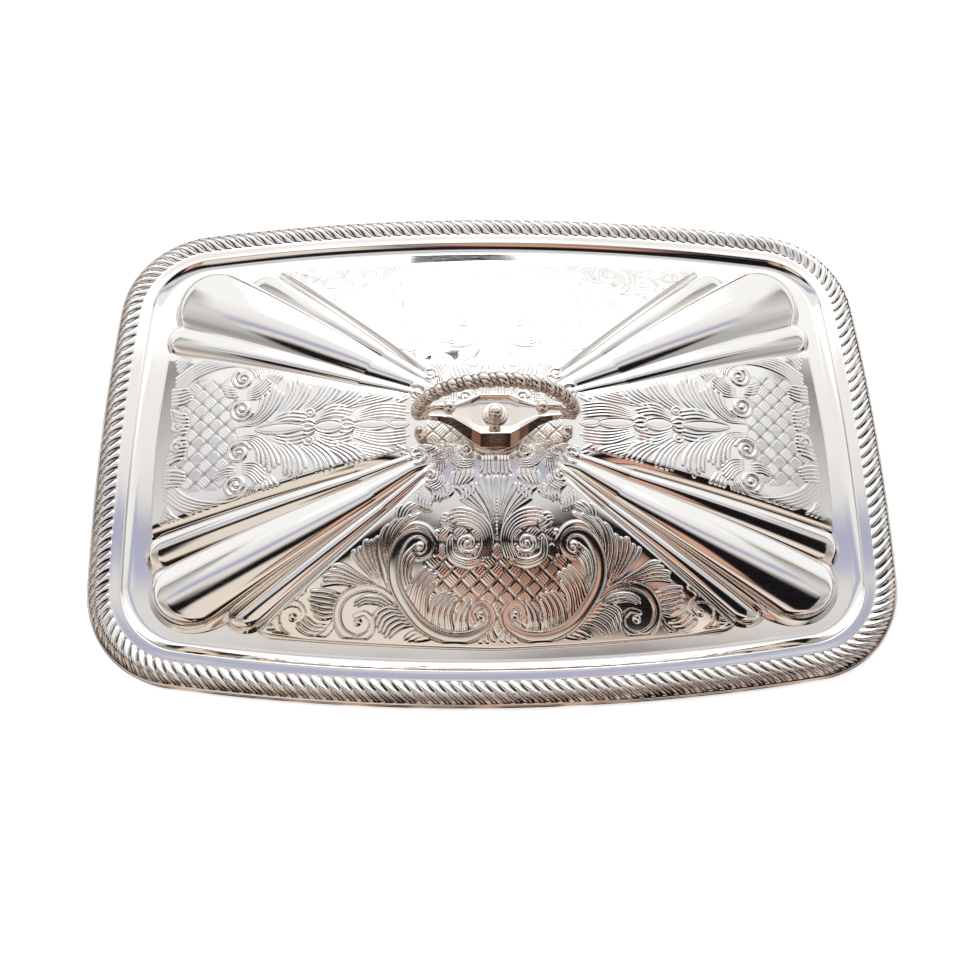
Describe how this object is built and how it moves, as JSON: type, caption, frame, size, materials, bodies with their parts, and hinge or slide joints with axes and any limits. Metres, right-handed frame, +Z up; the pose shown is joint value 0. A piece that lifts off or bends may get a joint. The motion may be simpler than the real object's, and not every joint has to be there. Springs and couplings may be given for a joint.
{
  "type": "serving dish cover",
  "caption": "Low domed silver-plated serving dish cover with chased panels, fluted corners, a gadrooned rim and a lift-off rope-twist loop handle held by a threaded finial.",
  "frame": {"origin": "centre of the rim's underside, on the surface the cover stands on", "axes": "+Z up out of the dome, +X along the long sides and in the plane of the handle's loop"},
  "size_m": [0.345, 0.2358, 0.0638],
  "materials": {
    "silver_plate": "polished silver plate, chased",
    "handle_plate": "polished silver plate, cast",
    "brass": "turned, unplated"
  },
  "bodies": {
    "cover": {"cover_shell": "silver_plate", "rim_wire": "silver_plate", "gadroon_border_left": "silver_plate", "gadroon_border_right": "silver_plate", "handle_stud": "brass", "backing_washer": "brass", "backing_nut": "brass"},
    "handle": {"handle_foot": "handle_plate", "handle_saddle": "handle_plate", "rope_grip": "handle_plate", "scroll_bracket_right": "handle_plate", "scroll_bracket_left": "handle_plate"},
    "collar": {"finial_collar": "handle_plate"},
    "knob": {"finial_knob": "handle_plate"}
  },
  "joints": [
    {"name": "handle_lift", "type": "slide", "parent": "cover", "child": "handle", "axis": [0, 0, 1], "range_m": [0, 0.06]},
    {"name": "finial_travel", "type": "slide", "parent": "handle", "child": "collar", "axis": [0, 0, 1], "range_m": [0, 0.0035]},
    {"name": "finial_turn", "type": "hinge", "parent": "collar", "child": "knob", "pos_m": [0, 0, 0.0305], "axis": [0, 0, 1], "range_deg": [0, 1800]}
  ],
  "couplings": [
    {"joint": "finial_turn", "follows": "finial_travel", "rad_per_m": 8976}
  ]
}
